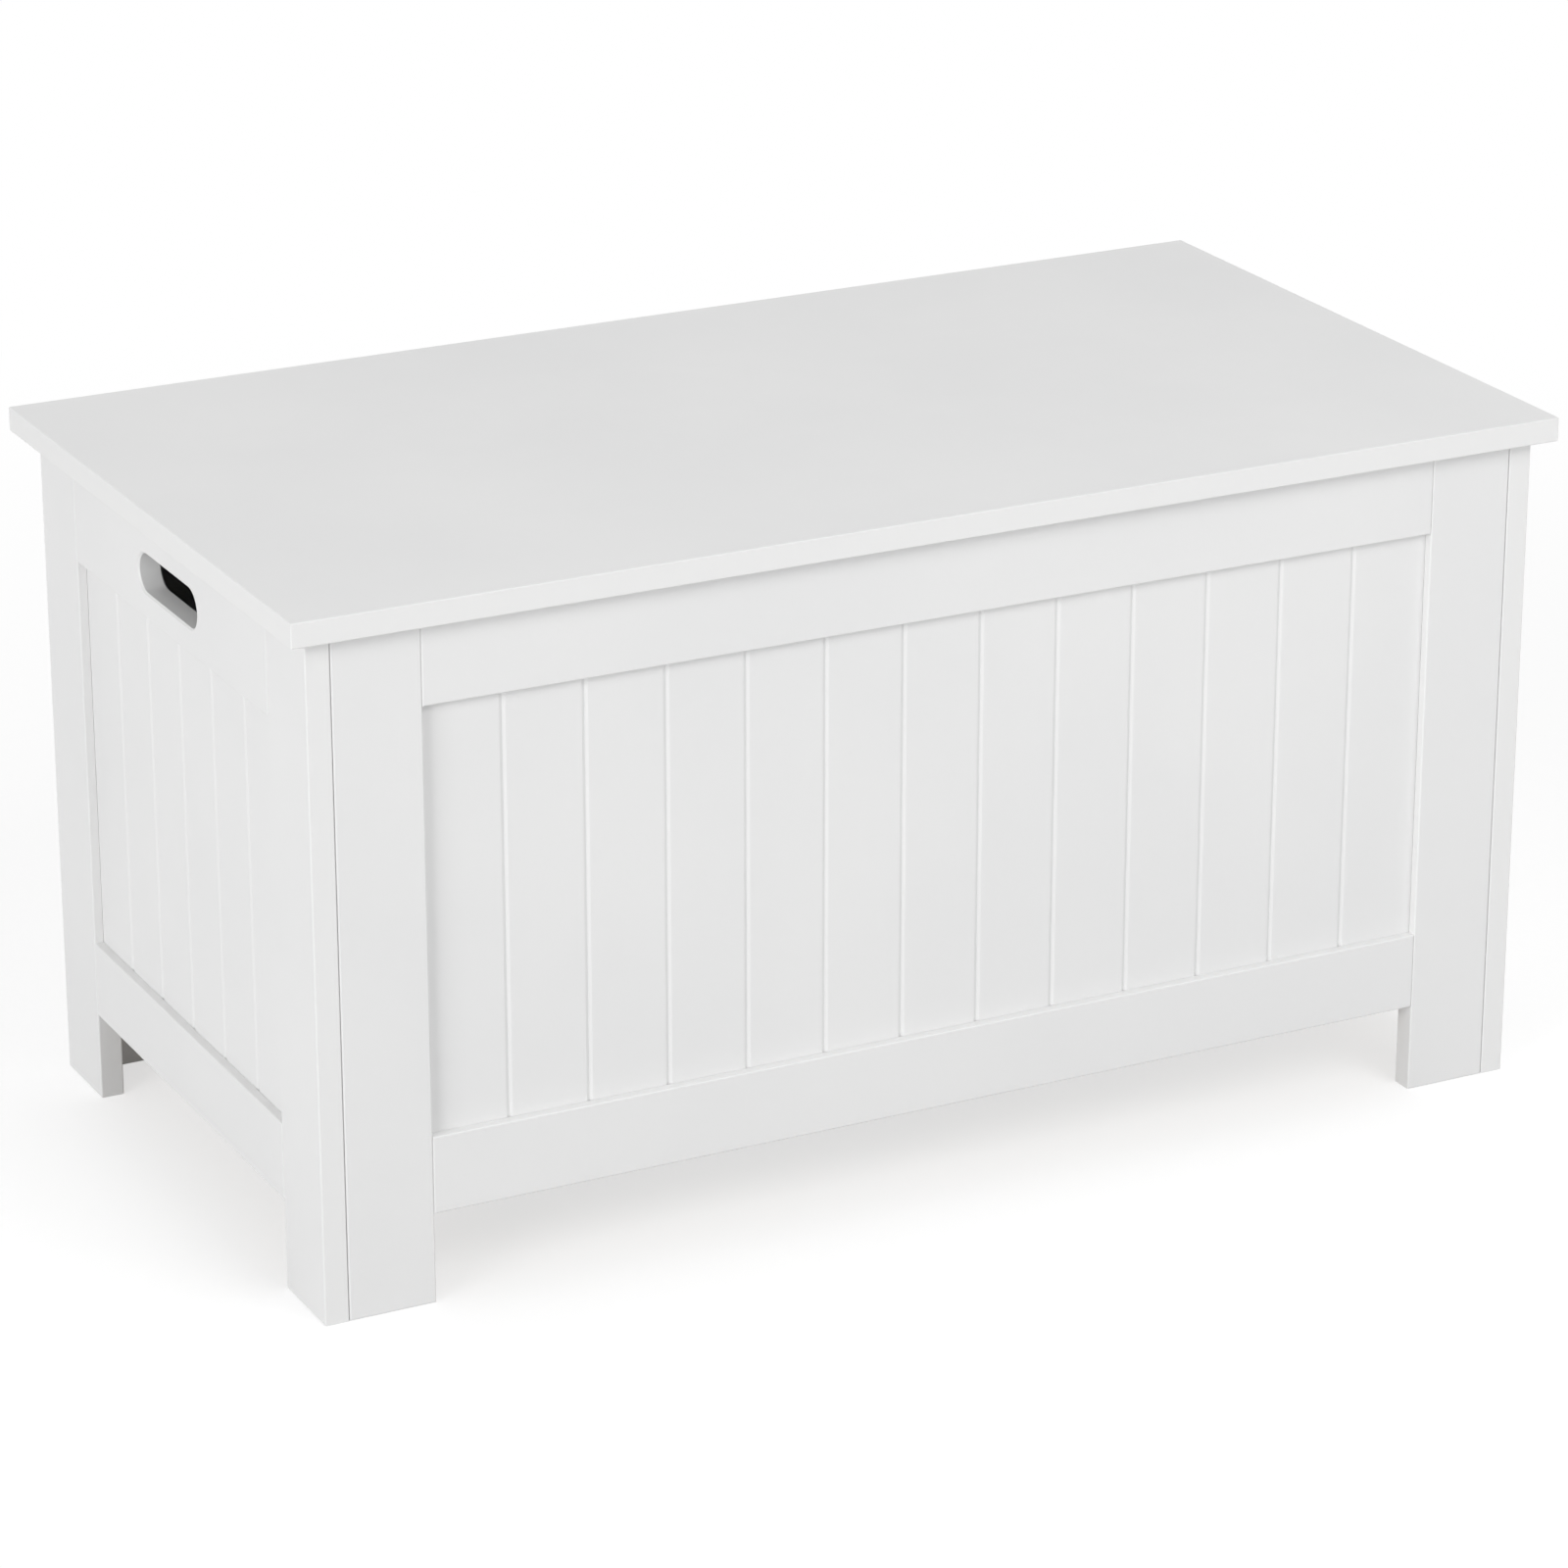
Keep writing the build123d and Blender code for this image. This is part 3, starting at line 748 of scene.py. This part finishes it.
@dataclass
class Base:
    """The base board on its battens, which are screwed to the bottom rails."""

    screw: CrossScrew = CrossScrew(3.5 * MM, 7.0 * MM)
    early_wood: Colour = (0.70, 0.52, 0.31)
    late_wood: Colour = (0.52, 0.32, 0.15)
    board_roughness: float = 0.55
    board_edge_roughness: float = 0.7

    def build(self, palette: Palette) -> None:
        """Drives the batten screws."""
        self.screw.stand_for("batten_screws", "batten_cross_screws", "box", "zinc_steel", palette.zinc)

    def dress(self) -> None:
        """Faces the board, and gives each batten grain along its own length."""
        gloss = {"roughness": self.board_roughness, "edge_roughness": self.board_edge_roughness}
        dress(["base_board"], Lacquer("faced_base", Along.Z, **gloss).material())
        for grain, places in ((Along.X, ENDS), (Along.Y, SIDES)):
            name = f"pine_along_{grain.name.lower()}"
            pine = Timber(name, grain, self.early_wood, self.late_wood).material()
            dress([f"base_{place}_batten" for place in places], pine)


@dataclass
class Lid:
    """The lid board."""

    def dress(self) -> None:
        """Lacquers the lid."""
        dress(["lid_board"], Lacquer("lacquer_lid", Along.Z).material())


@dataclass
class Hinges:
    """Two butt hinges between the back wall and the lid."""

    screw: CrossScrew = CrossScrew(3.0 * MM, 6.0 * MM)
    pieces: tuple[str, ...] = ("box_leaf", "lid_leaf", "pin")

    def build(self, palette: Palette) -> None:
        """Drives the screws of both leaves.

        Args:
            palette: the shared finishes.
        """
        for body in ("box", "lid"):
            node = f"hinge_{body}_screws"
            self.screw.stand_for(node, f"hinge_{body}_cross_screws", body, "zinc_steel", palette.zinc)

    def dress(self, palette: Palette) -> None:
        """Plates the leaves and the pins."""
        dress([f"{side}_hinge_{piece}" for side in SIDES for piece in self.pieces], palette.zinc)


@dataclass
class Stays:
    """Two folding stays that hold the lid open."""

    screw: CrossScrew = CrossScrew(3.5 * MM, 7.0 * MM)
    plated: tuple[str, ...] = (
        "box_bracket", "box_rivet", "lower_arm", "elbow_rivet", "upper_arm", "lid_rivet", "lid_bracket",
    )

    def build(self, palette: Palette) -> None:
        """Drives the screws of the brackets.

        Args:
            palette: the shared finishes.
        """
        for body in ("box", "lid"):
            node = f"stay_{body}_screws"
            self.screw.stand_for(node, f"stay_{body}_cross_screws", body, "zinc_steel", palette.zinc)

    def dress(self, palette: Palette) -> None:
        """Plates the metal and leaves the washers white."""
        dress([f"{side}_stay_{piece}" for side in SIDES for piece in self.plated], palette.zinc)
        dress([f"{side}_stay_friction_washer" for side in SIDES], palette.nylon)


@dataclass
class CornerFittings:
    """Cams, bolts, caps and dowels in the corners."""

    cap: CapDisc = CapDisc()
    early_wood: Colour = (0.60, 0.42, 0.26)
    late_wood: Colour = (0.50, 0.32, 0.18)
    rings_per_metre: float = 240.0

    def build(self, palette: Palette) -> None:
        """Sets a cap over each cam."""
        self.cap.stand_for("corner_cam_caps", "corner_cap_discs", "box", "white_plastic", palette.nylon)

    def dress(self, palette: Palette) -> None:
        """Plates the cams and bolts, and gives the dowels their grain.

        Args:
            palette: the shared finishes.
        """
        dress(["corner_cam_bolts", "corner_cam_locks"], palette.zinc)
        wood = (self.early_wood, self.late_wood, self.rings_per_metre)
        dress(["corner_dowels"], Timber("beech_dowel", Along.X, *wood).material())


@dataclass(frozen=True)
class Lamp:
    """One soft square lamp that looks at the box."""

    name: str
    azimuth: float
    elevation: float
    distance: float
    power: float
    width: float

    def build(self, target: Vector) -> None:
        """Hangs the lamp.

        Args:
            target: point that it looks at.
        """
        away = direction(self.azimuth, self.elevation)
        data = bpy.data.lights.new(self.name, "AREA")
        data.energy = self.power
        data.size = self.width
        lamp = bpy.data.objects.new(self.name, data)
        lamp.location = target + away * self.distance
        lamp.rotation_euler = away.to_track_quat("Z", "Y").to_euler()
        bpy.context.scene.collection.objects.link(lamp)


def direction(azimuth: float, elevation: float) -> Vector:
    """Direction from the box, in degrees: azimuth 0 is straight in front, and 90 to the right."""
    turn, rise = math.radians(azimuth), math.radians(elevation)
    return Vector((math.sin(turn) * math.cos(rise), -math.cos(turn) * math.cos(rise), math.sin(rise)))


@dataclass
class Studio:
    """Floor, light and camera."""

    floor_width: float = 60.0
    sky: float = 0.43
    overhead: float = 0.16
    behind: float = 2.4
    behind_azimuth: float = 140.0
    lamps: tuple[Lamp, ...] = (
        Lamp("key", azimuth=-63.0, elevation=13.0, distance=6.5, power=198.0, width=2.9),
        Lamp("high", azimuth=12.0, elevation=42.0, distance=5.0, power=51.0, width=2.0),
        Lamp("front", azimuth=22.0, elevation=22.0, distance=1.8, power=3.2, width=1.0),
    )
    aim: Vector = field(default_factory=lambda: Vector((0.0016, 0.0, 0.1893)))
    azimuth: float = -27.04
    elevation: float = 20.98
    distance: float = 3.565
    lens: float = 132.3
    sensor: float = 36.0

    def build(self) -> None:
        """Builds the floor, the light and the camera."""
        self._floor()
        self._sky()
        for lamp in self.lamps:
            lamp.build(self.aim)
        self._camera()

    def _floor(self) -> None:
        """Lays the floor at the box's feet."""
        shape = bmesh.new()
        bmesh.ops.create_grid(shape, x_segments=1, y_segments=1, size=self.floor_width / 2)
        mesh = bpy.data.meshes.new("studio_floor")
        shape.to_mesh(mesh)
        shape.free()
        mesh.materials.append(StudioFloor().material())
        floor = bpy.data.objects.new("studio_floor", mesh)
        floor.location.z = CAD_BOX[0].z
        bpy.context.scene.collection.objects.link(floor)

    def _sky(self) -> None:
        """Hangs white surroundings: full white where seen, and softer where they light the box.

        The light is stronger overhead, and low down behind the box.
        """
        world = bpy.data.worlds.new("studio")
        bpy.context.scene.world = world
        shader = Shader(world)
        way = shader.node("ShaderNodeTexCoord").outputs["Generated"]
        height = Wire(shader, shader.node("ShaderNodeSeparateXYZ", {}, {0: way}).outputs["Z"])
        toward = {0: way, 1: direction(self.behind_azimuth, 0.0)}
        rear = shader.node("ShaderNodeVectorMath", {"operation": "DOT_PRODUCT"}, toward)
        low = 1.0 - height
        paler = Wire(shader, rear.outputs["Value"]).between(0.0, 1.0) * low * low
        light = self.sky + height * height * self.overhead + paler * self.behind
        seen = shader.seen()
        strength = seen + (1.0 - seen) * light
        white = {"Color": (1.0, 1.0, 1.0, 1.0), "Strength": strength}
        back = shader.node("ShaderNodeBackground", {}, white)
        shader.node("ShaderNodeOutputWorld", {}, {"Surface": back.outputs[0]})

    def _camera(self) -> None:
        """Sets up the camera."""
        away = direction(self.azimuth, self.elevation)
        data = bpy.data.cameras.new("camera")
        data.lens = self.lens
        data.sensor_width = self.sensor
        camera = bpy.data.objects.new("camera", data)
        camera.location = self.aim + away * self.distance
        camera.rotation_euler = away.to_track_quat("Z", "Y").to_euler()
        bpy.context.scene.collection.objects.link(camera)
        bpy.context.scene.camera = camera


def main() -> None:
    """Builds and dresses the sub-assemblies in order, then the studio round them."""
    logging.basicConfig(level=logging.INFO, format="%(name)s %(message)s")
    bpy.context.scene.view_settings.view_transform = "Standard"
    palette = Palette()
    Carcass().dress()
    Lid().dress()
    base = Base()
    base.build(palette)
    base.dress()
    for assembly in (CornerFittings(), Hinges(), Stays()):
        assembly.build(palette)
        assembly.dress(palette)
    Studio().build()


if __name__ == "__main__":
    main()
